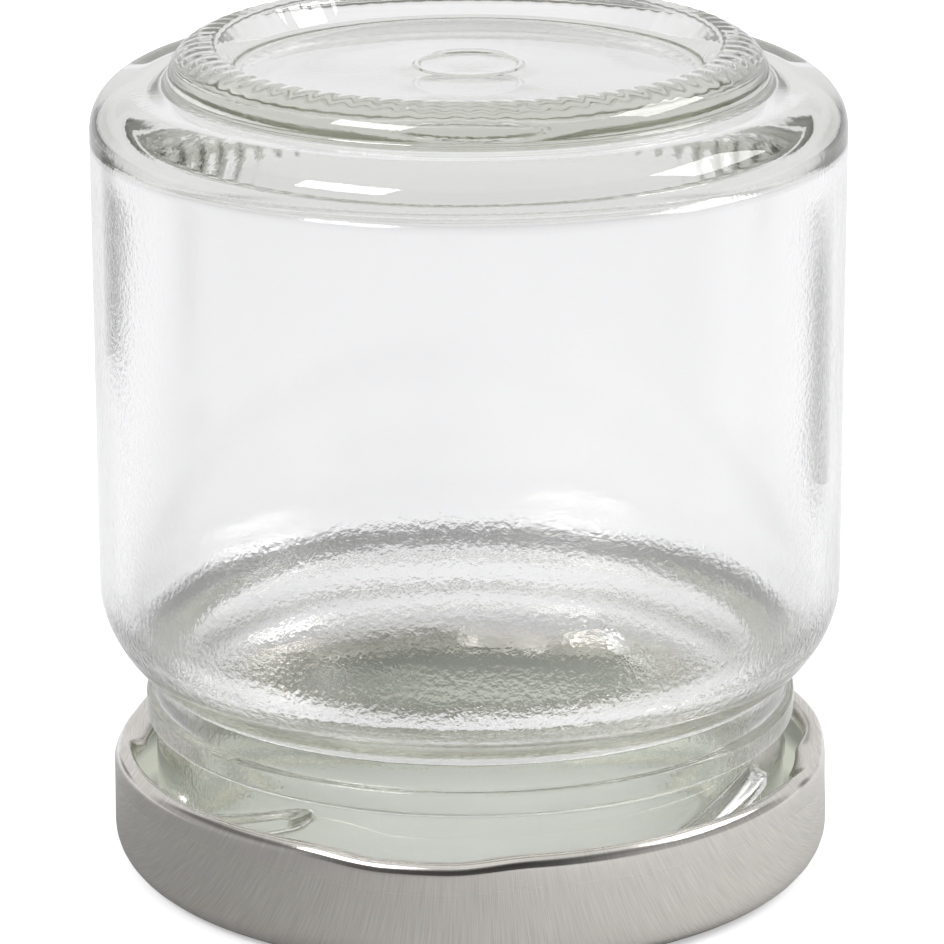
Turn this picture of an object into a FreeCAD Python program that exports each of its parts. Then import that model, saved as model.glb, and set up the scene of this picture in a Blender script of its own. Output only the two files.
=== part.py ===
import FreeCAD, Part

import math
import os

# Small clear-glass storage jar with a brushed tinplate twist-off lid, in millimetres.
# It stands upside down, mouth in the lid. Z points up, the origin is on the table at the
# lid's centre, and -Y is the front. Turning angles are measured at the front from -Y
# towards +X, so they grow anticlockwise as seen from above.

# ---- driving sizes of the glass finish: the part of the jar that the lid goes on ----
mouth_radius = 24.3
finish_wall = 2.8
rim_inner_rounding = 1.2
rim_outer_rounding = 0.9
thread_count = 4
thread_projection = 1.9
thread_base_height = 2.6
thread_crest_height = 1.2
thread_crest_bevel = 0.4
thread_root_depth = 0.5
thread_flat_rise = 1.0
thread_flat_angle = 22.0
thread_ramp_angle = 33.0
thread_gap_below_bead = 0.1
thread_fade_in_angle = 7.0
thread_fade_out_angle = 2.5
thread_tip_share = 0.35
thread_station_angle = 3.5
thread_lug_clearance = 0.18
bead_projection = 0.8
bead_height = 2.2
bead_rounding = 0.7
bead_above_lid = 2.4
neck_length = 2.4
neck_extra_radius = 0.2
neck_rounding = 0.5

# ---- driving sizes of the jar's body and base ----
body_radius = 31.7
body_wall = 2.4
jar_height = 70.3
shoulder_slope = 30.0
shoulder_rounding = 8.2
shoulder_inner_rounding = 6.0
bore_top_rounding = 2.5
heel_rounding = 4.0
foot_ring_radius = 25.2
foot_ring_height = 3.3
foot_ring_taper = 0.2
foot_ring_width = 4.0
foot_ring_outer_rounding = 1.4
foot_ring_inner_rounding = 0.9
foot_ring_root_rounding = 0.8
shelf_dish = 0.4
punt_wall_run = 0.9
punt_depth = 2.9
punt_rounding = 1.2
punt_dish = 0.6
floor_thickness = 3.2
floor_dish = 0.3
floor_rounding = 6.0

# ---- driving sizes of the lid, pressed from one sheet ----
sheet_thickness = 0.25
lid_height = 10.5
lid_corner_rounding = 3.2
skirt_clearance = 1.55
curl_diameter = 1.4
panel_recess = 0.8
panel_step_run = 0.8
panel_step_inset = 0.9
panel_step_rounding = 0.5
lug_count = 4
lug_front_angle = -9.0
lug_flat_angle = 13.0
lug_fade_angle = 7.0
lug_bite = 0.9
lug_drop = 1.15
lug_thickness = 1.35
lug_lean = 0.3
lug_root_height = 3.5
lug_station_angle = 3.5

# ---- driving sizes of the sealing ring, flowed into the lid's channel ----
seal_thickness = 0.85
seal_inner_inset = 0.5
seal_rounding = 0.3
seal_bond_clearance = 0.05
seal_seat_clearance = 0.05

# ---- places that follow from them ----
finish_radius = mouth_radius + finish_wall
thread_radius = finish_radius + thread_projection
lid_inner_radius = thread_radius + skirt_clearance
lid_radius = lid_inner_radius + sheet_thickness
seal_floor = sheet_thickness + seal_bond_clearance
seal_top = seal_floor + seal_thickness
rim_seat = seal_top + seal_seat_clearance
lug_tip_radius = thread_radius - lug_bite
lug_underside = lid_height - lug_drop - lug_thickness
bead_bottom = lid_height + bead_above_lid
bead_top = bead_bottom + bead_height
neck_radius = finish_radius + neck_extra_radius
neck_top = bead_top + neck_length
jar_top = rim_seat + jar_height
shelf_height = jar_top - foot_ring_height
lug_step = 360.0 / lug_count
thread_step = 360.0 / thread_count


def at_angle(radius, angle, height):
    """A point at a turning angle from the front, round the jar's axis."""
    turn = math.radians(angle)
    return FreeCAD.Vector(radius * math.sin(turn), -radius * math.cos(turn), height)


def corner_tangent(before, corner, after, rounding):
    """How far from a corner its rounding starts."""
    into = (corner - before).normalize()
    out = (after - corner).normalize()
    turn = math.acos(max(-1.0, min(1.0, into.dot(out))))
    return rounding * math.tan(turn / 2.0)


def rounded_outline(corners):
    """A closed wire in the XZ plane through (radius, height, rounding) corners.

    A rounding is cut down only where the two sides that meet there are too short for it.
    """
    points = [FreeCAD.Vector(radius, 0.0, height) for radius, height, _ in corners]
    count = len(points)
    wanted = [
        corner_tangent(points[i - 1], points[i], points[(i + 1) % count], corners[i][2])
        for i in range(count)
    ]
    tangents = list(wanted)
    for i in range(count):
        following = (i + 1) % count
        side = (points[following] - points[i]).Length
        asked = wanted[i] + wanted[following]
        if asked > side:
            tangents[i] = min(tangents[i], wanted[i] * side / asked)
            tangents[following] = min(tangents[following], wanted[following] * side / asked)
    edges = []
    starts = []
    ends = []
    for i, point in enumerate(points):
        into = (point - points[i - 1]).normalize()
        out = (points[(i + 1) % count] - point).normalize()
        starts.append(point - into * tangents[i])
        ends.append(point + out * tangents[i])
    for i, point in enumerate(points):
        if (ends[i] - starts[i]).Length > 1e-6:
            inward = (starts[i] + ends[i]) * 0.5 - point
            half_chord = (ends[i] - starts[i]).Length / 2.0
            radius = tangents[i] * half_chord / inward.Length
            middle = point + inward.normalize() * (math.hypot(radius, tangents[i]) - radius)
            edges.append(Part.Arc(starts[i], middle, ends[i]).toShape())
        following = starts[(i + 1) % count]
        if (following - ends[i]).Length > 1e-6:
            edges.append(Part.makeLine(ends[i], following))
    return Part.Wire(edges)


def turned(wire, first_angle=0.0, sweep=360.0):
    """The solid that a radial outline sweeps round the Z axis."""
    face = Part.Face(wire)
    origin = FreeCAD.Vector(0, 0, 0)
    up = FreeCAD.Vector(0, 0, 1)
    face.rotate(origin, up, first_angle)
    return face.revolve(origin, up, sweep)


def as_solid(shape):
    """The one solid that a fuse of touching pieces gives, with its seams cleaned."""
    solid = shape.removeSplitter().Solids
    if len(solid) != 1:
        raise ValueError("the pieces of this part don't join into one solid")
    return solid[0]


# ---------------------------------------------------------------- glass jar
def jar_profile():
    """Half of the jar's section: up the outside from the rim, down the inside."""
    shoulder_rise = math.tan(math.radians(shoulder_slope))
    shoulder_height = neck_top + (body_radius - neck_radius) * shoulder_rise
    inner_radius = body_radius - body_wall
    wall_shift = body_wall / math.cos(math.radians(shoulder_slope))
    bore_top = neck_top + (mouth_radius - neck_radius) * shoulder_rise + wall_shift
    inner_shoulder = bore_top + (inner_radius - mouth_radius) * shoulder_rise
    foot_inner_radius = foot_ring_radius - foot_ring_width
    punt_edge = jar_top - punt_depth
    punt_centre = punt_edge - punt_dish
    floor_centre = punt_centre - floor_thickness
    return rounded_outline(
        [
            (mouth_radius, rim_seat, rim_inner_rounding),
            (finish_radius, rim_seat, rim_outer_rounding),
            (finish_radius, bead_bottom, 0.0),
            (finish_radius + bead_projection, bead_bottom, bead_rounding),
            (finish_radius + bead_projection, bead_top, bead_rounding),
            (neck_radius, bead_top, neck_rounding),
            (neck_radius, neck_top, neck_rounding),
            (body_radius, shoulder_height, shoulder_rounding),
            (body_radius, shelf_height + shelf_dish, heel_rounding),
            (foot_ring_radius, shelf_height, foot_ring_root_rounding),
            (foot_ring_radius - foot_ring_taper, jar_top, foot_ring_outer_rounding),
            (foot_inner_radius, jar_top, foot_ring_inner_rounding),
            (foot_inner_radius - punt_wall_run, punt_edge, punt_rounding),
            (0.0, punt_centre, 0.0),
            (0.0, floor_centre, 0.0),
            (inner_radius, floor_centre - floor_dish, floor_rounding),
            (inner_radius, inner_shoulder, shoulder_inner_rounding),
            (mouth_radius, bore_top, bore_top_rounding),
        ]
    )


def thread_section(angle, height, share):
    """One cross-section of a thread; share says how much of it stands out."""
    base = finish_radius - thread_root_depth
    crest = finish_radius + thread_projection * share
    bevel = crest - thread_crest_bevel * share
    half_base = thread_base_height / 2.0 * share
    half_crest = thread_crest_height / 2.0 * share
    half_bevel = half_crest + thread_crest_bevel * share
    outline = [
        (base, -half_base),
        (bevel, -half_bevel),
        (crest, -half_crest),
        (crest, half_crest),
        (bevel, half_bevel),
        (base, half_base),
    ]
    return Part.makePolygon([at_angle(r, angle, height + z) for r, z in outline + outline[:1]])


def thread(first_angle):
    """An interrupted thread: a gentle part that a lug seats on, then a steep stop."""
    flat_top = lug_underside - thread_lug_clearance
    knee = flat_top - thread_base_height / 2.0
    start = knee - thread_flat_rise
    finish = bead_bottom - thread_gap_below_bead - thread_base_height / 2.0
    length = thread_flat_angle + thread_ramp_angle
    stations = int(math.ceil(length / thread_station_angle))
    turns = [length * i / stations for i in range(stations + 1)]
    turns += [thread_fade_in_angle, thread_flat_angle, length - thread_fade_out_angle]
    sections = []
    for turn in sorted(set(turns)):
        if turn < thread_flat_angle:
            height = start + thread_flat_rise * turn / thread_flat_angle
        else:
            height = knee + (finish - knee) * (turn - thread_flat_angle) / thread_ramp_angle
        fade_in = turn / thread_fade_in_angle
        fade_out = (length - turn) / thread_fade_out_angle
        grown = min(1.0, fade_in, fade_out)
        share = thread_tip_share + (1.0 - thread_tip_share) * grown
        sections.append(thread_section(first_angle + turn, height, share))
    return Part.makeLoft(sections, True, True)


def glass_jar():
    lug_half_angle = lug_flat_angle / 2.0 + lug_fade_angle
    free_gap = thread_step - thread_flat_angle - thread_ramp_angle
    first = lug_front_angle + lug_half_angle + (free_gap - 2.0 * lug_half_angle) / 2.0
    threads = [thread(first + i * thread_step) for i in range(thread_count)]
    return as_solid(turned(jar_profile()).fuse(threads))


# ---------------------------------------------------------------- lid
def lid_pan():
    """The panel, its sunken middle, the corner and the skirt up to the lugs' roots."""
    step_inner = mouth_radius - panel_step_inset
    step_outer = step_inner + panel_step_run
    root = lid_height - lug_root_height
    inner_corner = lid_corner_rounding - sheet_thickness
    slope = math.atan2(panel_recess, panel_step_run)
    shift = sheet_thickness * math.tan(slope / 2.0)
    return turned(
        rounded_outline(
            [
                (0.0, panel_recess, 0.0),
                (step_inner, panel_recess, panel_step_rounding),
                (step_outer, 0.0, panel_step_rounding),
                (lid_radius, 0.0, lid_corner_rounding),
                (lid_radius, root, 0.0),
                (lid_inner_radius, root, 0.0),
                (lid_inner_radius, sheet_thickness, inner_corner),
                (step_outer + shift, sheet_thickness, panel_step_rounding),
                (step_inner + shift, panel_recess + sheet_thickness, panel_step_rounding),
                (0.0, panel_recess + sheet_thickness, 0.0),
            ]
        )
    )


def rim_section(angle, pressed):
    """The curled edge above the lugs' roots; pressed is 0 on the curl and 1 on a lug."""

    def between(curl, lug):
        radius = curl[0] + (lug[0] - curl[0]) * pressed
        height = curl[1] + (lug[1] - curl[1]) * pressed
        return at_angle(radius, angle, height)

    curl_radius = curl_diameter / 2.0
    curl_centre = lid_height - curl_radius
    inner_drop = math.sqrt(curl_radius**2 - (curl_radius - sheet_thickness) ** 2)
    diagonal = curl_radius * math.sqrt(0.5)
    lug_top = lid_height - lug_drop
    lug_middle = lug_top - lug_thickness / 2.0
    lug_outside = lid_radius - lug_lean
    lug_crown = (lug_tip_radius + lug_outside) / 2.0
    root = lid_height - lug_root_height
    inner_root = at_angle(lid_inner_radius, angle, root)
    outer_root = at_angle(lid_radius, angle, root)
    throat = between(
        (lid_inner_radius, curl_centre - inner_drop),
        (lug_outside - sheet_thickness, lug_underside),
    )
    tip = between((lid_radius - curl_diameter, curl_centre), (lug_tip_radius, lug_middle))
    crown = between((lid_radius - curl_radius, lid_height), (lug_crown, lug_top))
    brow = between(
        (lid_radius - curl_radius + diagonal, curl_centre + diagonal),
        (lug_outside - lug_lean, lug_top - lug_lean / 2.0),
    )
    flank = between((lid_radius, curl_centre), (lug_outside, lug_middle))
    edges = [
        Part.makeLine(inner_root, throat),
        Part.Arc(throat, tip, crown).toShape(),
        Part.Arc(crown, brow, flank).toShape(),
        Part.makeLine(flank, outer_root),
        Part.makeLine(outer_root, inner_root),
    ]
    return Part.Wire(edges)


def lug(middle_angle):
    """A stretch of the curl that is pressed inwards and down to a flat lug."""
    half = lug_flat_angle / 2.0
    fades = int(math.ceil(lug_fade_angle / lug_station_angle))
    offsets = [half + lug_fade_angle * i / fades for i in range(fades + 1)]
    sections = []
    for offset in [-o for o in reversed(offsets)] + offsets:
        faded = (abs(offset) - half) / lug_fade_angle
        pressed = 0.5 + 0.5 * math.cos(math.pi * faded)
        sections.append(rim_section(middle_angle + offset, pressed))
    return Part.makeLoft(sections, True, True)


def curl(first_angle, sweep):
    """A plain stretch of the curled edge, between two lugs."""
    face = Part.Face(rim_section(first_angle, 0.0))
    return face.revolve(FreeCAD.Vector(0, 0, 0), FreeCAD.Vector(0, 0, 1), sweep)


def lid_shell():
    half = lug_flat_angle / 2.0 + lug_fade_angle
    pieces = []
    for i in range(lug_count):
        middle = lug_front_angle + i * lug_step
        pieces.append(lug(middle))
        pieces.append(curl(middle + half, lug_step - 2.0 * half))
    return as_solid(lid_pan().fuse(pieces))


# ---------------------------------------------------------------- sealing ring
def sealing_ring():
    """The soft ring that lies in the lid's channel, under the jar's rim."""
    inner = mouth_radius + seal_inner_inset
    outer = lid_inner_radius - seal_bond_clearance
    corner = lid_corner_rounding - sheet_thickness - seal_bond_clearance
    centre_radius = outer - corner
    centre_height = seal_floor + corner
    rise = math.asin((centre_height - seal_top) / corner)
    lip = FreeCAD.Vector(centre_radius + corner * math.cos(rise), 0.0, seal_top)
    half_turn = (math.pi / 2.0 + rise) / 2.0
    middle = FreeCAD.Vector(
        centre_radius + corner * math.cos(half_turn), 0.0, centre_height - corner * math.sin(half_turn)
    )
    foot = FreeCAD.Vector(centre_radius, 0.0, seal_floor)
    inner_foot = FreeCAD.Vector(inner, 0.0, seal_floor)
    inner_side = FreeCAD.Vector(inner, 0.0, seal_top - seal_rounding)
    inner_top = FreeCAD.Vector(inner + seal_rounding, 0.0, seal_top)
    chamfer = seal_rounding * (1.0 - math.sqrt(0.5))
    inner_edge = FreeCAD.Vector(inner + chamfer, 0.0, seal_top - chamfer)
    edges = [
        Part.makeLine(inner_foot, foot),
        Part.Arc(foot, middle, lip).toShape(),
        Part.makeLine(lip, inner_top),
        Part.Arc(inner_top, inner_edge, inner_side).toShape(),
        Part.makeLine(inner_side, inner_foot),
    ]
    return turned(Part.Wire(edges))


nodes = {
    "lid_shell": lid_shell(),
    "sealing_ring": sealing_ring(),
    "glass_jar": glass_jar(),
}
os.makedirs("parts", exist_ok=True)
for name, shape in nodes.items():
    shape.exportStep("parts/" + name + ".step")
    box = shape.BoundBox
    print(name, "volume", round(shape.Volume, 1), "mm3", "top", round(box.ZMax, 2), "mm")
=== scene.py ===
# %% [markdown]
# # A small glass jar, upside down in its twist-off lid
# The object is a clear soda-lime jar of about 150 ml that stands mouth down in a brushed
# tinplate lid. Three pieces are modelled here: the lid, the sealing compound that is flowed
# into it, and the jar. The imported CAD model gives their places, and these meshes give their looks.

# %% Load the frame
import math

import bmesh
import bpy
import numpy as np
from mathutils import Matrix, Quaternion, Vector, noise


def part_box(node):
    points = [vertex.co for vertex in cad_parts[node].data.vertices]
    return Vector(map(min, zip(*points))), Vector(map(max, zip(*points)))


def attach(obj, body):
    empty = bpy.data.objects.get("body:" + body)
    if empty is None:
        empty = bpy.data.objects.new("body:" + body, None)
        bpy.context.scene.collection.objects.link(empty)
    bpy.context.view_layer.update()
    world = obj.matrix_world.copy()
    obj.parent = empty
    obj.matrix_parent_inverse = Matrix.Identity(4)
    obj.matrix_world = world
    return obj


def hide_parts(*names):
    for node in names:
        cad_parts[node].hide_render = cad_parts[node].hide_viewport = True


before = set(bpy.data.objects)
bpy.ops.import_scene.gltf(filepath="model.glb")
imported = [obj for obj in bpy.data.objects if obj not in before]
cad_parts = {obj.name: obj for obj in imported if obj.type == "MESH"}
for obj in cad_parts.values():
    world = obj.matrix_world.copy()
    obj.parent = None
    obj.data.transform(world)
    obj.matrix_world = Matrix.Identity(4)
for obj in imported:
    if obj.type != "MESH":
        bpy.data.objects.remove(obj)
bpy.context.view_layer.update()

MM = 0.001
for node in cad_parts:
    low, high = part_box(node)
    print(node, "spans", [round(c / MM, 2) for c in (*low, *high)], "mm")

# %% [markdown]
# ## Measures
# The jar and the lid meet in one round finish, so their measures are kept together. All are
# in millimetres, and heights count from the table up.

# %% Shared measures
_, lid_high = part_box("lid_shell")
seal_low, seal_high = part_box("sealing_ring")
jar_low, jar_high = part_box("glass_jar")

box_margin = 0.02
body_radius = jar_high.x / MM - box_margin
jar_top = jar_high.z / MM
rim_seat = jar_low.z / MM
lid_radius = lid_high.x / MM
lid_height = lid_high.z / MM
mouth_radius = 24.3
finish_radius = 27.1
print("jar", round(2 * body_radius, 1), "mm wide, lid", round(2 * lid_radius, 1), "mm wide")

# %% [markdown]
# ## Drawing a round piece
# A jar, a pressed lid and a poured ring are all round, so each starts as half of its section:
# one vertex is extruded from corner to corner, the corners are beveled to their radii, and the
# outline is spun round the upright axis. A primitive cylinder would need every one of these
# edges added to it afterwards, and a lathe in code would hide how the shape is built.
# Two places closer than `touching` count as one, and a wide corner gets finer steps, in
# degrees, than a small one.

# %% A section outline, drawn by extruding one vertex
touching = 0.01
wide_rounding = 4.0
wide_step = 6.0
small_step = 12.0


def edit_mesh():
    return bmesh.from_edit_mesh(bpy.context.object.data)


def pick_vertices(test):
    """Selects the vertices of the open edit mesh that pass a test of their place in mm."""
    bpy.ops.mesh.select_mode(type="VERT")
    bpy.ops.mesh.select_all(action="DESELECT")
    mesh = edit_mesh()
    for vertex in mesh.verts:
        vertex.select = test(vertex.co / MM)
    mesh.select_flush(True)
    bmesh.update_edit_mesh(bpy.context.object.data)


def draw_outline(name, corners):
    """Extrudes one vertex through (radius, height, rounding) corners and rounds them."""
    bpy.ops.object.select_all(action="DESELECT")
    bpy.ops.mesh.primitive_plane_add(size=MM)
    bpy.context.object.name = name
    bpy.ops.object.mode_set(mode="EDIT")
    bpy.ops.mesh.select_mode(type="VERT")
    bpy.ops.mesh.select_all(action="SELECT")
    bpy.ops.mesh.merge(type="CENTER")
    places = [Vector((radius, 0.0, height)) for radius, height, _ in corners]
    bpy.ops.transform.translate(value=places[0] * MM)
    for before, after in zip(places, places[1:]):
        bpy.ops.mesh.extrude_vertices_move(TRANSFORM_OT_translate={"value": (after - before) * MM})
    for i in range(1, len(corners) - 1):
        rounding = corners[i][2]
        if rounding == 0.0:
            continue
        turn = (places[i] - places[i - 1]).angle(places[i + 1] - places[i])
        step = wide_step if rounding >= wide_rounding else small_step
        pick_vertices(lambda place: (place - places[i]).length < touching)
        bpy.ops.mesh.bevel(
            affect="VERTICES",
            offset=rounding * math.tan(turn / 2.0) * MM,
            segments=max(2, math.ceil(math.degrees(turn) / step)),
        )


def cut_sides(longest, test):
    """Cuts the edges that pass a test of their middle, in mm, into pieces of that length."""
    bpy.ops.mesh.select_mode(type="EDGE")
    while True:
        bpy.ops.mesh.select_all(action="DESELECT")
        mesh = edit_mesh()
        sides = [
            edge
            for edge in mesh.edges
            if edge.calc_length() > longest * MM and test((edge.verts[0].co + edge.verts[1].co) / 2 / MM)
        ]
        if not sides:
            return
        sides[0].select_set(True)
        cuts = math.ceil(sides[0].calc_length() / (longest * MM)) - 1
        bmesh.update_edit_mesh(bpy.context.object.data)
        bpy.ops.mesh.subdivide(number_cuts=cuts)


def spin_outline(steps):
    """Spins the open outline round the upright axis and closes its seam and poles."""
    bpy.ops.mesh.select_mode(type="VERT")
    bpy.ops.mesh.select_all(action="SELECT")
    bpy.ops.mesh.spin(steps=steps, angle=2.0 * math.pi, center=(0, 0, 0), axis=(0, 0, 1))
    bpy.ops.mesh.select_all(action="SELECT")
    bpy.ops.mesh.remove_doubles(threshold=0.002 * MM)
    bpy.ops.mesh.normals_make_consistent(inside=False)
    bpy.ops.object.mode_set(mode="OBJECT")
    return bpy.context.object


# %% Reading and moving a piece's vertices
def places_of(piece):
    """The piece's vertices as an array of places in mm."""
    places = np.empty(len(piece.data.vertices) * 3)
    piece.data.vertices.foreach_get("co", places)
    return places.reshape(-1, 3) / MM


def normals_of(piece):
    normals = np.empty(len(piece.data.vertices) * 3)
    piece.data.vertices.foreach_get("normal", normals)
    return normals.reshape(-1, 3)


def radii_of(places):
    """The distance of each place from the upright axis, never nought, so that it can divide."""
    return np.maximum(np.hypot(places[:, 0], places[:, 1]), 0.001)


def turning_angle(places):
    """The angle from the front, growing towards +X, of each place."""
    return np.arctan2(places[:, 0], -places[:, 1])


def smooth_step(low, high, value):
    share = np.clip((value - low) / (high - low), 0.0, 1.0)
    return share * share * (3.0 - 2.0 * share)


def move_to(piece, places):
    piece.data.vertices.foreach_set("co", (places * MM).ravel())
    piece.data.update()


def mark(piece, name, shares):
    """Gives every vertex a share from 0 to 1 that a material can read."""
    attribute = piece.data.attributes.new(name, "FLOAT", "POINT")
    attribute.data.foreach_set("value", shares.astype(np.float32))


def report(piece):
    piece.data.calc_loop_triangles()
    mesh = bmesh.new()
    mesh.from_mesh(piece.data)
    loose = sum(1 for edge in mesh.edges if not edge.is_manifold)
    print(piece.name, len(piece.data.loop_triangles), "triangles,", loose, "open edges,",
          round(mesh.calc_volume(signed=True) / MM**3), "mm3")
    mesh.free()


# %% [markdown]
# ## The glass jar
# The real jar is pressed and blown in a mould: the finish with its four threads is pressed
# first, and the body is blown against the mould wall, so the outside is true and the inside is
# a little uneven. The base has a foot ring round a raised middle, and the foot ring carries
# knurls that keep the hot glass off the conveyor. The outside and the inside are drawn as one
# outline, because glass bends light at both faces and the mesh has to be a closed wall.

# %% The jar's section
body_wall = 2.4
neck_radius = 27.3
bead_radius = 27.9
bead_bottom = 12.9
bead_top = 15.1
neck_top = 17.5
shoulder_slope = math.radians(30.0)
shoulder_rounding = 8.2
heel_rounding = 4.0
heel_rise = 0.4
foot_ring_radius = 25.2
foot_ring_width = 4.0
foot_ring_height = 3.3
foot_ring_lean = 0.45
punt_depth = 2.4
punt_dish = -0.4
punt_slope_width = 1.9
floor_thickness = 3.9
floor_dish = 1.3
floor_bend_radius = 22.0
floor_bend_drop = 0.2
circle_radius = 4.35
circle_rise = 0.13
circle_half_foot = 0.35
circle_half_crest = 0.15
circle_rounding = 0.12
ledge_height = 19.4
ledge_rise = 0.7
rim_rounding = 0.9
finish_corner = 0.25

shoulder_height = neck_top + (body_radius - neck_radius) * math.tan(shoulder_slope)
inner_radius = body_radius - body_wall
shelf_height = jar_top - foot_ring_height
foot_inner_radius = foot_ring_radius - foot_ring_width
punt_edge = jar_top - punt_depth
punt_centre = punt_edge - punt_dish
floor_centre = punt_centre - floor_thickness


def punt_height(radius):
    return punt_centre + punt_dish * radius / foot_inner_radius


circle_foot_inner = circle_radius - circle_half_foot
circle_foot_outer = circle_radius + circle_half_foot
circle_crest = punt_height(circle_radius) + circle_rise
draw_outline("jar_glass", [
    (0.0, punt_centre, 0.0),
    (circle_foot_inner, punt_height(circle_foot_inner), circle_rounding),
    (circle_radius - circle_half_crest, circle_crest, circle_rounding),
    (circle_radius + circle_half_crest, circle_crest, circle_rounding),
    (circle_foot_outer, punt_height(circle_foot_outer), circle_rounding),
    (foot_inner_radius - punt_slope_width, punt_edge, 1.2),
    (foot_inner_radius, jar_top, 0.9),
    (foot_ring_radius - foot_ring_lean, jar_top, 3.0),
    (foot_ring_radius, shelf_height, 0.8),
    (body_radius, shelf_height + heel_rise, heel_rounding),
    (body_radius, shoulder_height, shoulder_rounding),
    (neck_radius, neck_top, 0.5),
    (neck_radius, bead_top, 0.25),
    (bead_radius, bead_top, 0.35),
    (bead_radius, bead_bottom, 0.5),
    (finish_radius, bead_bottom, finish_corner),
    (finish_radius, rim_seat, rim_rounding),
    (mouth_radius, rim_seat, 1.2),
    (mouth_radius, ledge_height, 1.1),
    (inner_radius, ledge_height + ledge_rise, 2.1),
    (inner_radius, floor_centre - floor_dish, 2.0),
    (floor_bend_radius, floor_centre - floor_bend_drop, 10.0),
    (0.0, floor_centre, 0.0),
])

# %% [markdown]
# ### From the section to a closed jar
# Long sides of the section are cut before it is spun, so that every face is small enough to be
# moved later. The straight wall of the finish gets even rows for the threads, and the face of
# the foot ring gets fine ones for its knurls.

# %% The jar, cut into rows and spun
side_length = 2.6
foot_side_length = 0.35
face_margin = 0.05
wall_low = rim_seat + rim_rounding
wall_high = bead_bottom - finish_corner
wall_rows = 35
row_slack = 1.01


def on_finish(place):
    return place.x > finish_radius - face_margin and wall_low < place.z < wall_high


cut_sides((wall_high - wall_low) / wall_rows * row_slack, on_finish)
cut_sides(foot_side_length, lambda place: place.z > jar_top - face_margin)
cut_sides(side_length, lambda place: True)
jar = spin_outline(360)
report(jar)

# %% [markdown]
# ### The threads
# A thread of this closure is a short ramp, repeated four times. It could be a separate rod that
# a Boolean joins to the wall, but that leaves a hard crease, and pressed glass has none.
# Here the rows of the wall first slide up and down until the middle ones follow the ramps, and
# then those rows are drawn outwards, so that every edge of a thread runs along the mesh.

# %% Threads drawn out of the finish
thread_count = 4
thread_start = math.radians(8.5)
thread_projection = 1.9
thread_base = 2.6
thread_crest = 1.3
thread_rise = 1.0
thread_flat = math.radians(22.0)
thread_ramp = math.radians(31.0)
thread_fade_in = math.radians(9.0)
thread_fade_out = math.radians(2.0)
thread_tip = math.radians(3.0)
thread_tip_base = 1.7
thread_top = 7.82
thread_gap = 0.05
thread_knee = thread_top - thread_base / 2.0
thread_high = wall_high - thread_gap - thread_tip_base / 2.0
band_low, band_high = 0.3, 0.7

places = places_of(jar)
heights = places[:, 2]
radii = radii_of(places)
length = thread_flat + thread_ramp
pitch = 2.0 * math.pi / thread_count
turn = (turning_angle(places) - thread_start) % pitch
middle = np.interp(
    turn, [0.0, thread_flat, length], [thread_knee - thread_rise, thread_knee, thread_high]
)
base = np.interp(turn, [thread_flat, length], [thread_base, thread_tip_base])
back_down = smooth_step(length, pitch, turn)
middle += (thread_knee - thread_rise - thread_high) * back_down
base += (thread_base - thread_tip_base) * back_down

in_rows = (heights > wall_low - touching) & (heights < wall_high + touching)
on_wall = (np.abs(radii - finish_radius) < touching) & in_rows
row = np.clip((heights - wall_low) / (wall_high - wall_low), 0.0, 1.0)
below = wall_low + (middle - base / 2.0 - wall_low) * row / band_low
across = middle + base * ((row - band_low) / (band_high - band_low) - 0.5)
above = wall_high - (wall_high - middle - base / 2.0) * (1.0 - row) / (1.0 - band_high)
slid = np.where(row < band_low, below, np.where(row < band_high, across, above))
heights[:] = np.where(on_wall, slid, heights)

tip_width = np.sqrt(np.clip((length - turn) / thread_tip, 0.0, 1.0))
half_base = np.maximum(base / 2.0 * tip_width, touching)
half_crest = half_base * thread_crest / thread_base
drawn = smooth_step(half_base, half_crest, np.abs(heights - middle))
drawn *= smooth_step(0.0, thread_fade_in, turn) * smooth_step(0.0, thread_fade_out, length - turn)
grown = np.where(on_wall, 1.0 + thread_projection * drawn / finish_radius, 1.0)
places[:, :2] *= grown[:, None]
move_to(jar, places)
print("threads reach", round(float((radii * grown)[on_wall].max()), 2), "mm")

# %% [markdown]
# ### The knurled foot ring
# The knurls are short radial bars cut into the mould, here as a wave round the bearing face.
# Only the glass between them is lowered, so the ring still stands on the same plane. The edges
# that run round the ring are halved first, because a wave needs more points than a plain ring.

# %% Finer steps round the foot ring
knurled_height = 1.45
knurled_margin = 0.6
even_slack = 0.001

bpy.context.view_layer.objects.active = jar
bpy.ops.object.mode_set(mode="EDIT")
bpy.ops.mesh.select_mode(type="EDGE")
bpy.ops.mesh.select_all(action="DESELECT")
mesh = edit_mesh()
halved = 0
for edge in mesh.edges:
    ends = [vertex.co / MM for vertex in edge.verts]
    level = abs(ends[0].z - ends[1].z) < even_slack
    round_the_axis = abs(ends[0].xy.length - ends[1].xy.length) < even_slack
    high_up = min(end.z for end in ends) > jar_top - knurled_height
    on_ring = high_up and ends[0].xy.length > foot_inner_radius - knurled_margin
    if level and round_the_axis and on_ring:
        edge.select_set(True)
        halved += 1
bmesh.update_edit_mesh(jar.data)
bpy.ops.mesh.subdivide(number_cuts=1)
bpy.ops.object.mode_set(mode="OBJECT")
print("halved", halved, "edges of the foot ring")

# %% Knurls round the foot ring
knurl_count = 76
knurl_depth = 0.11
knurl_seed = 7
knurl_from, knurl_full = foot_inner_radius - 0.1, foot_inner_radius + 0.6
knurl_fading, knurl_to = foot_ring_radius - 2.2, foot_ring_radius - 0.7
edge_wave = 0.09
edge_height = 1.0
edge_width = 1.5

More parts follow.
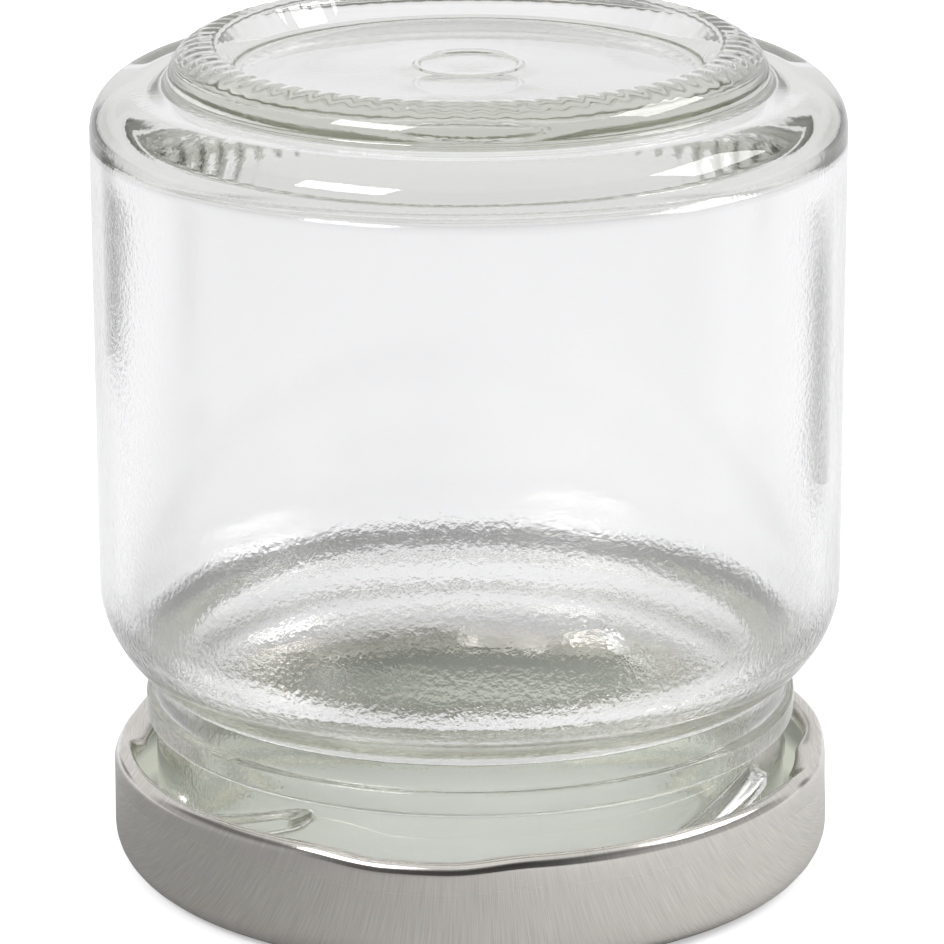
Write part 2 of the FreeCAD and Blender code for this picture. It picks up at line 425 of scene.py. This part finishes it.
places = places_of(jar)
heights = places[:, 2]
radii = radii_of(places)
along = turning_angle(places) / (2.0 * math.pi) * knurl_count
rng = np.random.default_rng(knurl_seed)
knurl = np.floor(along).astype(int) % knurl_count
phase = along % 1.0
width = rng.uniform(0.85, 1.15, knurl_count)[knurl]
height = rng.uniform(0.75, 1.0, knurl_count)[knurl]
bar = smooth_step(0.0, 0.9, (0.5 - np.abs(phase - 0.5)) * 2.0 * width) * height
band = smooth_step(knurl_from, knurl_full, radii)
band *= 1.0 - smooth_step(knurl_fading, knurl_to, radii)
band *= heights > jar_top - knurled_height
heights -= knurl_depth * band * (1.0 - bar)
inner_edge = 1.0 - smooth_step(foot_inner_radius, foot_inner_radius + edge_width, radii)
inner_edge *= heights > jar_top - edge_height
shorter = edge_wave * inner_edge * (bar - 0.5)
places[:, :2] *= (1.0 - shorter / radii)[:, None]
move_to(jar, places)
print(knurl_count, "knurls, one every", round(2.0 * math.pi * foot_ring_radius / knurl_count, 2), "mm")

# %% [markdown]
# ### The uneven inside
# Blown glass touches no mould inside, so the wall's thickness wanders by a tenth of a
# millimetre over a centimetre. The inner vertices are moved along their normals by a slow
# noise, and they are marked for the material, which adds the finer ripple. The ripple is
# strongest round the ledge above the neck and nearly gone on the floor.

# %% Slow waves on the inner wall
wave_height = 0.05
wave_length = 9.0
ripple_heights = [
    rim_seat + 1.0, rim_seat + 4.0, ledge_height - 2.0, ledge_height,
    ledge_height + 3.0, ledge_height + 7.0, floor_centre - 4.0, floor_centre,
]
ripple_shares = [0.0, 0.35, 0.35, 1.0, 1.0, 0.2, 0.2, 0.03]

places = places_of(jar)
heights = places[:, 2]
radii = radii_of(places)
normals = normals_of(jar)
facing_axis = -(normals[:, 0] * places[:, 0] + normals[:, 1] * places[:, 1]) / radii
on_side = (facing_axis > 0.2) & (heights < floor_centre)
on_floor = (normals[:, 2] < -0.4) & (heights > ledge_height + 1.0) & (radii < body_radius - 1.0)
by_ledge = (np.abs(heights - ledge_height) < 1.2) & (radii > mouth_radius - 0.1) & (radii < inner_radius)
inside = on_side | on_floor | by_ledge
mark(jar, "inner_face", inside * np.interp(heights, ripple_heights, ripple_shares))

waves = np.array([noise.noise(Vector(place) / wave_length) for place in places])
wavy = inside * smooth_step(rim_seat + 6.0, ledge_height, heights)
places += normals * (wave_height * waves * wavy)[:, None]
move_to(jar, places)
bpy.ops.object.select_all(action="DESELECT")
jar.select_set(True)
bpy.context.view_layer.objects.active = jar
bpy.ops.object.shade_smooth()
report(jar)

# %% [markdown]
# ## The lid
# The lid is drawn from one brushed and lacquered sheet: a panel with a step, a rounded corner,
# a skirt, and an edge that is curled inwards. The curl is spun as a round roll and then
# stretched to the upright oval that the press leaves. In four places it is pressed flat and
# inwards to a lug. The outline is the outer face, and Solidify gives it the sheet's thickness.

# %% The lid's section and curl
sheet = 0.25
panel_recess = 0.8
step_inner = mouth_radius - 0.9
step_outer = step_inner + 0.8
corner_rounding = 3.2
skirt_low = 3.5
skirt_side_length = 0.8
panel_side_length = 2.5
curl_radius = 0.87
curl_stretch = 1.4
curl_turn = math.radians(300.0)
curl_height = lid_height - curl_radius * curl_stretch

draw_outline("lid_metal", [
    (0.0, panel_recess, 0.0),
    (step_inner, panel_recess, 0.5),
    (step_outer, 0.0, 0.5),
    (lid_radius, 0.0, corner_rounding),
    (lid_radius, curl_height, 0.0),
])
pick_vertices(lambda place: abs(place.z - curl_height) < touching)
bpy.ops.mesh.spin(
    steps=22,
    angle=curl_turn,
    center=((lid_radius - curl_radius) * MM, 0, curl_height * MM),
    axis=(0, 1, 0),
)
pick_vertices(lambda place: place.z > skirt_low)
bpy.ops.transform.resize(value=(1.0, 1.0, curl_stretch), center_override=(0, 0, curl_height * MM))
cut_sides(skirt_side_length, lambda place: place.z > skirt_low)
cut_sides(panel_side_length, lambda place: True)
lid = spin_outline(360)
outer_count = len(lid.data.vertices)
bpy.ops.object.modifier_add(type="SOLIDIFY")
lid.modifiers["Solidify"].thickness = sheet * MM
lid.modifiers["Solidify"].offset = -1.0
lid.modifiers["Solidify"].use_even_offset = True
bpy.ops.object.modifier_apply(modifier="Solidify")
report(lid)

# %% [markdown]
# ### The lugs
# A press tool pushes the curl in over about 13 degrees, and the edge beside it sinks with it in
# a soft, wide wave. Both happen here to the rows of the curl: the whole tube sinks by a share
# that fades out far along the edge, and its inner half is stretched to a tip by a narrower one.
# The curl's edge and the sheet's inner face are marked for the material on the way.

# %% Four lugs pressed from the curl
lug_count = 4
lug_front = math.radians(-8.6)
dip_half = math.radians(4.5)
dip_fade = math.radians(14.0)
dip_depth = 0.6
tip_half = math.radians(6.0)
tip_fade = math.radians(6.0)
lug_tip = 28.1
tip_thinning = 0.45
lug_lean = 0.12
curl_low = lid_height - 2.0 * curl_radius * curl_stretch
curl_inner_from = 0.35
edge_blur = 0.3

places = places_of(lid)
heights = places[:, 2]
radii = radii_of(places)
step = 2.0 * math.pi / lug_count
away = np.abs((turning_angle(places) - lug_front + step / 2.0) % step - step / 2.0)
dip = 1.0 - smooth_step(dip_half, dip_half + dip_fade, away)
stretch = 1.0 - smooth_step(tip_half, tip_half + tip_fade, away)
rim = smooth_step(skirt_low, curl_low, heights)
inner_half = rim * smooth_step(curl_inner_from, 1.0, (lid_radius - radii) / (2.0 * curl_radius))
tip_reach = lid_radius - lug_lean - 2.0 * curl_radius - lug_tip
thinner = 1.0 - tip_thinning * inner_half * stretch
flattened = np.where(rim > 0.99, curl_height + (heights - curl_height) * thinner, heights)
mark(lid, "curled_edge", smooth_step(curl_low - edge_blur, curl_low + edge_blur, flattened))
mark(lid, "inside_coat", np.arange(len(places)) >= outer_count)

heights[:] = flattened - dip_depth * dip * rim
shorter = lug_lean * dip * rim + tip_reach * stretch * inner_half
places[:, :2] *= (1.0 - shorter / radii)[:, None]
move_to(lid, places)
print("lugs reach in to", round(lug_tip, 2), "mm and sink by", dip_depth, "mm")

# %% [markdown]
# ### Where the brushing runs
# The sheet is brushed flat, in one direction, before it is drawn. On the panel the lines stay
# straight. On the skirt they stand upright at the front and back, lie along the edge at the
# sides, and slant in between. A UV map that unrolls the skirt into the flat sheet keeps them so.

# %% The flat sheet as a UV map
sheet_width = 100.0

places = places_of(lid)
radii = radii_of(places)
reach = radii + places[:, 2]
flat = places[:, :2] * (reach / radii)[:, None] / sheet_width
corner_vertices = np.empty(len(lid.data.loops), dtype=np.int32)
lid.data.loops.foreach_get("vertex_index", corner_vertices)
sheet_map = lid.data.uv_layers.new(name="flat_sheet")
sheet_map.data.foreach_set("uv", flat[corner_vertices].astype(np.float32).ravel())
bpy.ops.object.shade_smooth()
report(lid)

# %% [markdown]
# ## The sealing ring
# A soft compound is flowed into the lid's channel and sets there with a flat face and rounded
# edges. It is drawn and spun as the other two are, but its outline is closed before it is spun.

# %% The compound in the channel
seal_top = seal_high.z / MM
seal_floor = seal_low.z / MM
seal_inner = mouth_radius + 0.5
seal_outer = seal_high.x / MM
seal_slope_width = 1.6
draw_outline("sealing_compound", [
    (seal_inner, seal_floor, 0.0),
    (seal_inner, seal_top, 0.3),
    (seal_outer, seal_top, 0.12),
    (seal_outer - seal_slope_width, seal_floor, 0.6),
    (seal_inner, seal_floor, 0.0),
])
seal = spin_outline(180)
bpy.ops.object.shade_smooth()
report(seal)

# %% [markdown]
# ## Finishes
# Colours are written as they look on a screen, in sRGB hex, and turned to linear values once.
# One helper adds a node, sets its inputs and links them.

# %% Colour and node helpers


def linear(hex_colour):
    channels = [int(hex_colour[i : i + 2], 16) / 255.0 for i in (1, 3, 5)]
    return tuple(c / 12.92 if c <= 0.04045 else ((c + 0.055) / 1.055) ** 2.4 for c in channels) + (1.0,)


def add_node(tree, kind, inputs=None, **settings):
    node = tree.nodes.new(kind)
    for setting, value in settings.items():
        setattr(node, setting, value)
    for socket, value in (inputs or {}).items():
        if isinstance(value, bpy.types.NodeSocket):
            tree.links.new(value, node.inputs[socket])
        else:
            node.inputs[socket].default_value = value
    return node


def soft_step(tree, value, low, high, low_value, high_value):
    return add_node(tree, "ShaderNodeMapRange", {
        "Value": value, "From Min": low, "From Max": high, "To Min": low_value, "To Max": high_value,
    }, interpolation_type="SMOOTHSTEP").outputs[0]


def set_stops(ramp, *stops):
    """Gives a colour ramp its (position, colour) stops, in rising order."""
    elements = ramp.color_ramp.elements
    while len(elements) < len(stops):
        elements.new(1.0)
    for element, (position, colour) in zip(elements, stops):
        element.position = position
        element.color = linear(colour)


def new_material(name):
    material = bpy.data.materials.new(name)
    material.use_nodes = True
    material.node_tree.nodes.clear()
    output = add_node(material.node_tree, "ShaderNodeOutputMaterial")
    return material, material.node_tree, output


# %% [markdown]
# ### Soda-lime glass
# Clear container glass has an index of 1.52 and a faint green from iron, which shows only
# where light runs a long way through it. The face is fire-polished, so it has no roughness.
# The inside carries a fine ripple, about two waves to the millimetre. The renderer makes no
# caustics, so for the light of the lamps the glass is a clear pane with a slight grey tint:
# otherwise the lid inside the jar would stand in full shadow.

# %% The glass
ripples_per_mm = 2.2
ripple_height = 0.08

glass, tree, output = new_material("soda_lime_glass")
coords = add_node(tree, "ShaderNodeTexCoord")
inner_mark = add_node(tree, "ShaderNodeAttribute", attribute_name="inner_face")
ripple = add_node(tree, "ShaderNodeTexNoise", {
    "Vector": coords.outputs["Object"], "Scale": ripples_per_mm / MM, "Detail": 3.0,
})
height = add_node(tree, "ShaderNodeMath", {
    0: ripple.outputs["Fac"], 1: inner_mark.outputs["Fac"],
}, operation="MULTIPLY")
bump = add_node(tree, "ShaderNodeBump", {
    "Height": height.outputs[0], "Strength": 1.0, "Distance": ripple_height * MM,
})
clear = add_node(tree, "ShaderNodeBsdfPrincipled", {
    "Base Color": linear("#FFFFFF"),
    "Roughness": 0.0,
    "IOR": 1.52,
    "Transmission Weight": 1.0,
    "Normal": bump.outputs["Normal"],
})
iron = add_node(tree, "ShaderNodeVolumeAbsorption", {"Color": linear("#CACCBA"), "Density": 13.0})
path = add_node(tree, "ShaderNodeLightPath")
passing = add_node(tree, "ShaderNodeBsdfTransparent", {"Color": linear("#DADCD8")})
face = add_node(tree, "ShaderNodeMixShader", {
    0: path.outputs["Is Shadow Ray"], 1: clear.outputs[0], 2: passing.outputs[0],
})
tree.links.new(face.outputs[0], output.inputs["Surface"])
tree.links.new(iron.outputs[0], output.inputs["Volume"])
print(glass.name, "ripples every", round(1.0 / ripples_per_mm, 2), "mm")

# %% [markdown]
# ### Brushed tinplate
# Steel sheet with a tin coat, brushed with a fine belt and lacquered. The lines are a few
# hundredths of a millimetre wide, and are drawn about four times as coarse so that they show.
# On the curled edge the sheet is burnished by the tool, so it is smoother there.

# %% The brushed outside
lines_per_mm = 9.0
lines_along_per_mm = 0.25
line_depth = 0.01

tinplate, tree, output = new_material("lacquered_brushed_tinplate")
sheet_uv = add_node(tree, "ShaderNodeUVMap", uv_map="flat_sheet")
stretch = add_node(tree, "ShaderNodeMapping", {
    "Vector": sheet_uv.outputs[0],
    "Scale": (lines_per_mm * sheet_width, lines_along_per_mm * sheet_width, 1.0),
})
lines = add_node(tree, "ShaderNodeTexNoise", {"Vector": stretch.outputs[0], "Scale": 1.0, "Detail": 4.0})
tone = add_node(tree, "ShaderNodeValToRGB", {"Fac": lines.outputs["Fac"]})
set_stops(tone, (0.25, "#D0CCC6"), (0.75, "#EAE7E2"))
edge_share = add_node(tree, "ShaderNodeAttribute", attribute_name="curled_edge")
roughness = add_node(tree, "ShaderNodeMapRange", {
    "Value": edge_share.outputs["Fac"], "To Min": 0.3, "To Max": 0.18,
})
depth = add_node(tree, "ShaderNodeMapRange", {
    "Value": edge_share.outputs["Fac"], "To Min": 0.35, "To Max": 0.1,
})
grooves = add_node(tree, "ShaderNodeBump", {
    "Height": lines.outputs["Fac"], "Strength": depth.outputs[0], "Distance": line_depth * MM,
})
along = add_node(tree, "ShaderNodeTangent", direction_type="UV_MAP", uv_map="flat_sheet")
metal = add_node(tree, "ShaderNodeBsdfPrincipled", {
    "Base Color": tone.outputs[0],
    "Metallic": 1.0,
    "Roughness": roughness.outputs[0],
    "Anisotropic": 0.65,
    "Normal": grooves.outputs["Normal"],
    "Tangent": along.outputs[0],
})
print(tinplate.name, "lines every", round(1.0 / lines_per_mm, 2), "mm")

# %% [markdown]
# ### The coat inside the lid
# The inside is coated with a pale enamel. Its tone is painted light and shade over the height:
# darker on the panel, lightest where the skirt starts, and darker near the curl, painted shade where
# the curl keeps the light off. A ramp over the height gives that, from 0 at the table to 1 at a
# centimetre, and a slow cloud keeps its bands from being ruled.

# %% The coated inside
clouds_per_mm = 0.12
cloud_share = 0.06

coat_share = add_node(tree, "ShaderNodeAttribute", attribute_name="inside_coat")
coords = add_node(tree, "ShaderNodeTexCoord")
cloud = add_node(tree, "ShaderNodeTexNoise", {
    "Vector": coords.outputs["Object"], "Scale": clouds_per_mm / MM, "Detail": 3.0,
})
place = add_node(tree, "ShaderNodeSeparateXYZ", {0: coords.outputs["Object"]})
uneven = add_node(tree, "ShaderNodeMath", {0: cloud.outputs["Fac"], 1: cloud_share}, operation="MULTIPLY")
level = add_node(tree, "ShaderNodeMath", {
    0: place.outputs["Z"], 1: 0.1 / MM, 2: uneven.outputs[0],
}, operation="MULTIPLY_ADD")
# Painted light and shade: the stops darken the panel and the wall under the curl, and lighten the low
# wall.
coat_shade_ramp = add_node(tree, "ShaderNodeValToRGB", {"Fac": level.outputs[0]})
set_stops(
    coat_shade_ramp,
    (0.08, "#B4B6B2"), (0.17, "#C2C4C0"), (0.28, "#F2F3EE"), (0.46, "#F2F3EE"), (0.6, "#A6A8A4"),
)
coat = add_node(tree, "ShaderNodeBsdfPrincipled", {
    "Base Color": coat_shade_ramp.outputs[0], "Roughness": 0.3, "IOR": 1.5,
})
sheet_face = add_node(tree, "ShaderNodeMixShader", {
    0: coat_share.outputs["Fac"], 1: metal.outputs[0], 2: coat.outputs[0],
})
tree.links.new(sheet_face.outputs[0], output.inputs["Surface"])

# %% [markdown]
# ### Plastisol
# The compound is a soft PVC, pale and satin, with a faint mottle from how it was flowed in.

# %% The compound
mottles_per_mm = 0.3

plastisol, tree, output = new_material("pale_plastisol")
coords = add_node(tree, "ShaderNodeTexCoord")
mottle = add_node(tree, "ShaderNodeTexNoise", {
    "Vector": coords.outputs["Object"], "Scale": mottles_per_mm / MM, "Detail": 3.0,
})
tone = add_node(tree, "ShaderNodeValToRGB", {"Fac": mottle.outputs["Fac"]})
set_stops(tone, (0.0, "#D3D1C2"), (1.0, "#DEDCCF"))
soft = add_node(tree, "ShaderNodeBsdfPrincipled", {
    "Base Color": tone.outputs[0], "Roughness": 0.45, "IOR": 1.5,
})
tree.links.new(soft.outputs[0], output.inputs["Surface"])

# %% Give each piece its finish, its body and its CAD node
for piece, material, body, node, slot in (
    (lid, tinplate, "lid", "lid_shell", "brushed_tinplate"),
    (seal, plastisol, "seal", "sealing_ring", "sealing_compound"),
    (jar, glass, "jar", "glass_jar", "clear_glass"),
):
    piece.data.materials.append(material)
    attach(piece, body)
    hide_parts(node)
    print(piece.name, "rides on", body, "with", material.name)

# %% [markdown]
# ## Stage
# Clear glass has no look of its own: it shows what stands round it. So the backdrop and the
# ceiling are white, the room in front is dim, and two softboxes give the bright windows on
# the heel. The floor keeps the shadow, and a little light of its own makes it white.
# The jar and the lid see another floor than the camera does, with painted shade on it: grey in
# front, darker at the left, turning pale behind, and a painted shadow close by, where the lid keeps the
# light off.

# %% The floor
bpy.ops.mesh.primitive_plane_add(size=3.0, location=(0, 0, -0.00005))
floor = bpy.context.object
floor.name = "stage_floor"
paper, tree, output = new_material("white_floor")
path = add_node(tree, "ShaderNodeLightPath")
mirrored = add_node(tree, "ShaderNodeMath", {
    0: path.outputs["Is Glossy Ray"], 1: path.outputs["Is Transmission Ray"],
}, operation="ADD")
coords = add_node(tree, "ShaderNodeTexCoord")
where = add_node(tree, "ShaderNodeSeparateXYZ", {0: coords.outputs["Object"]})
reach = add_node(tree, "ShaderNodeVectorMath", {0: coords.outputs["Object"]}, operation="LENGTH")
rightwards = soft_step(tree, where.outputs["X"], -0.05, 0.05, 0.0, 1.0)
behind = soft_step(tree, where.outputs["Y"], 0.0, 0.06, 0.0, 1.0)
close_by = soft_step(tree, reach.outputs["Value"], 0.05, 0.075, 1.0, 0.0)
# Painted shadow: seen through the glass, the floor close to the lid is darker.
painted_shadow_share = add_node(tree, "ShaderNodeMath", {
    0: path.outputs["Is Transmission Ray"], 1: close_by,
}, operation="MULTIPLY")
# Painted shade: seen in the metal and through the glass, the floor is grey in front, darker at the left,
# and pale behind.
front = add_node(tree, "ShaderNodeMix", {
    "Factor": rightwards, "A": linear("#8C8C8C"), "B": linear("#C2C2C2"),
}, data_type="RGBA")
painted_shade_floor = add_node(tree, "ShaderNodeMix", {
    "Factor": behind, "A": front.outputs["Result"], "B": linear("#D3D3D5"),
}, data_type="RGBA")
floor_with_painted_shadow = add_node(tree, "ShaderNodeMix", {
    "Factor": painted_shadow_share.outputs[0], "A": painted_shade_floor.outputs["Result"], "B": linear("#787878"),
}, data_type="RGBA")
paper_tone = add_node(tree, "ShaderNodeMix", {
    "Factor": mirrored.outputs[0], "A": linear("#E6E6E8"), "B": floor_with_painted_shadow.outputs["Result"],
}, data_type="RGBA")
lit = add_node(tree, "ShaderNodeBsdfDiffuse", {"Color": paper_tone.outputs["Result"]})
strength = add_node(tree, "ShaderNodeMath", {
    0: path.outputs["Is Camera Ray"], 1: 0.35,
}, operation="MULTIPLY")
glow = add_node(tree, "ShaderNodeEmission", {"Color": linear("#FFFFFF"), "Strength": strength.outputs[0]})
both = add_node(tree, "ShaderNodeAddShader", {0: lit.outputs[0], 1: glow.outputs[0]})
tree.links.new(both.outputs[0], output.inputs["Surface"])
floor.data.materials.append(paper)

# %% [markdown]
# ### The surround
# The world is a white backdrop behind and a white ceiling above, and a room that is dim at the
# sides, dimmer high up and nearly black in front. Only the glass and the metal see that. The
# camera sees plain white, and light that was scattered once comes from an even white room,
# which keeps the shadows soft.

# %% The surround
world = bpy.data.worlds.new("studio")
bpy.context.scene.world = world
world.use_nodes = True
tree = world.node_tree
tree.nodes.clear()
output = add_node(tree, "ShaderNodeOutputWorld")
coords = add_node(tree, "ShaderNodeTexCoord")
way = add_node(tree, "ShaderNodeSeparateXYZ", {0: coords.outputs["Generated"]})
sides = soft_step(tree, way.outputs["Y"], -0.95, -0.45, 0.06, 0.45)
lower = soft_step(tree, way.outputs["Z"], 0.25, 0.5, 1.0, 0.4)
backdrop = soft_step(tree, way.outputs["Y"], 0.25, 0.55, 0.0, 0.8)
ceiling = soft_step(tree, way.outputs["Z"], 0.62, 0.85, 0.0, 0.8)
dim = add_node(tree, "ShaderNodeMath", {0: sides, 1: lower}, operation="MULTIPLY")
around = add_node(tree, "ShaderNodeMath", {0: dim.outputs[0], 1: backdrop}, operation="MAXIMUM")
room = add_node(tree, "ShaderNodeMath", {0: around.outputs[0], 1: ceiling}, operation="MAXIMUM")
path = add_node(tree, "ShaderNodeLightPath")
scattered = add_node(tree, "ShaderNodeMath", {
    0: path.outputs["Diffuse Depth"], 1: 1.2,
}, operation="MINIMUM")
fill = add_node(tree, "ShaderNodeMath", {
    0: room.outputs[0], 1: scattered.outputs[0],
}, operation="MAXIMUM")
level = add_node(tree, "ShaderNodeMath", {
    0: fill.outputs[0], 1: path.outputs["Is Camera Ray"],
}, operation="MAXIMUM")
studio = add_node(tree, "ShaderNodeBackground", {"Color": linear("#FFFFFF"), "Strength": level.outputs[0]})
tree.links.new(studio.outputs[0], output.inputs["Surface"])

# %% [markdown]
# ### Softboxes
# One lamp stands in front at the left and one at the right, both about 44 degrees up. They
# are wide, because their mirror images are the bright windows on the glass.

# %% Two softboxes
softbox_distance = 1.1
softbox_aim = Vector((0, 0, 0.04))


def softbox(name, turn, height, size, watts):
    """A softbox at an angle from the back, growing to the right, and at an angle up."""
    turn, height = math.radians(turn), math.radians(height)
    level = softbox_distance * math.cos(height)
    place = Vector((level * math.sin(turn), level * math.cos(turn), softbox_distance * math.sin(height)))
    bpy.ops.object.light_add(type="AREA", location=place)
    lamp = bpy.context.object
    lamp.name = name
    lamp.data.shape = "RECTANGLE"
    lamp.data.size, lamp.data.size_y = size
    lamp.data.energy = watts
    lamp.rotation_euler = (softbox_aim - place).to_track_quat("-Z", "Y").to_euler()
    print(name, "at", [round(c, 2) for c in place], "m")


softbox("softbox_left", -137.0, 44.0, (0.48, 0.3), 5.0)
softbox("softbox_right", 85.0, 43.0, (0.62, 0.36), 5.0)

# %% [markdown]
# ### Dark cards
# White on white, the edges of clear glass vanish. A dark card on each side, a little behind the
# jar, gives them a line. The cards are darkest in their middle and fade to their sides and
# their top, so that they leave no hard shape where they show through the glass.

# %% A card that fades out
card_paper, tree, output = new_material("grey_card")
coords = add_node(tree, "ShaderNodeTexCoord")
place = add_node(tree, "ShaderNodeSeparateXYZ", {0: coords.outputs["Object"]})
sideways = add_node(tree, "ShaderNodeMath", {0: place.outputs["X"]}, operation="ABSOLUTE")
narrow = soft_step(tree, sideways.outputs[0], 0.1, 0.5, 0.75, 0.0)
low = soft_step(tree, place.outputs["Y"], 0.1, 0.5, 1.0, 0.0)
share = add_node(tree, "ShaderNodeMath", {0: narrow, 1: low}, operation="MULTIPLY")
grey = add_node(tree, "ShaderNodeBsdfDiffuse", {"Color": linear("#3C3C3A")})
nothing = add_node(tree, "ShaderNodeBsdfTransparent", {"Color": linear("#FFFFFF")})
faded = add_node(tree, "ShaderNodeMixShader", {
    0: share.outputs[0], 1: nothing.outputs[0], 2: grey.outputs[0],
})
tree.links.new(faded.outputs[0], output.inputs["Surface"])

# %% Two dark cards beside the jar
card_height = 0.036


def dark_card(name, near, far):
    """An upright card over the floor from near to far, seen only in and through the glass."""
    middle = (Vector(near) + Vector(far)) / 2.0
    along = Vector(far) - Vector(near)
    bpy.ops.mesh.primitive_plane_add(size=1.0, location=(middle.x, middle.y, card_height / 2.0))
    card = bpy.context.object
    card.name = name
    card.scale = (along.length, card_height, 1.0)
    card.rotation_euler = (math.radians(90.0), 0.0, math.atan2(along.y, along.x))
    card.visible_camera = False
    card.visible_diffuse = False
    card.visible_shadow = False
    card.data.materials.append(card_paper)
    print(name, round(along.length / MM), "mm long")


dark_card("card_left", (-0.110, 0.132), (-0.160, 0.098))
dark_card("card_right", (0.090, 0.088), (0.124, 0.058))

# %% [markdown]
# ## Camera
# A long lens looks down at the jar from the front, a little under half a metre away.

# %% The camera
camera_elevation = math.radians(17.45)
camera_distance = 0.458
camera_target = Vector((0.0002, 0.0, 0.0338))
camera_roll = math.radians(-0.15)

back = Vector((0.0, -math.cos(camera_elevation), math.sin(camera_elevation)))
bpy.ops.object.camera_add(location=camera_target + back * camera_distance)
camera = bpy.context.object
camera.rotation_mode = "QUATERNION"
camera.rotation_quaternion = (-back).to_track_quat("-Z", "Y") @ Quaternion((0, 0, 1), camera_roll)
camera.data.sensor_width = 36.0
camera.data.lens = 204.8
bpy.context.scene.camera = camera
print("camera at", [round(c / MM) for c in camera.location], "mm")

# %% [markdown]
# ## Last settings
# The Standard view shows each colour as it is written. A ray crosses many faces before it is
# out of the glass again, so it is allowed many bounces.

# %% Render settings
scene = bpy.context.scene
scene.view_settings.view_transform = "Standard"
scene.cycles.max_bounces = 32
scene.cycles.transmission_bounces = 32
scene.cycles.glossy_bounces = 24
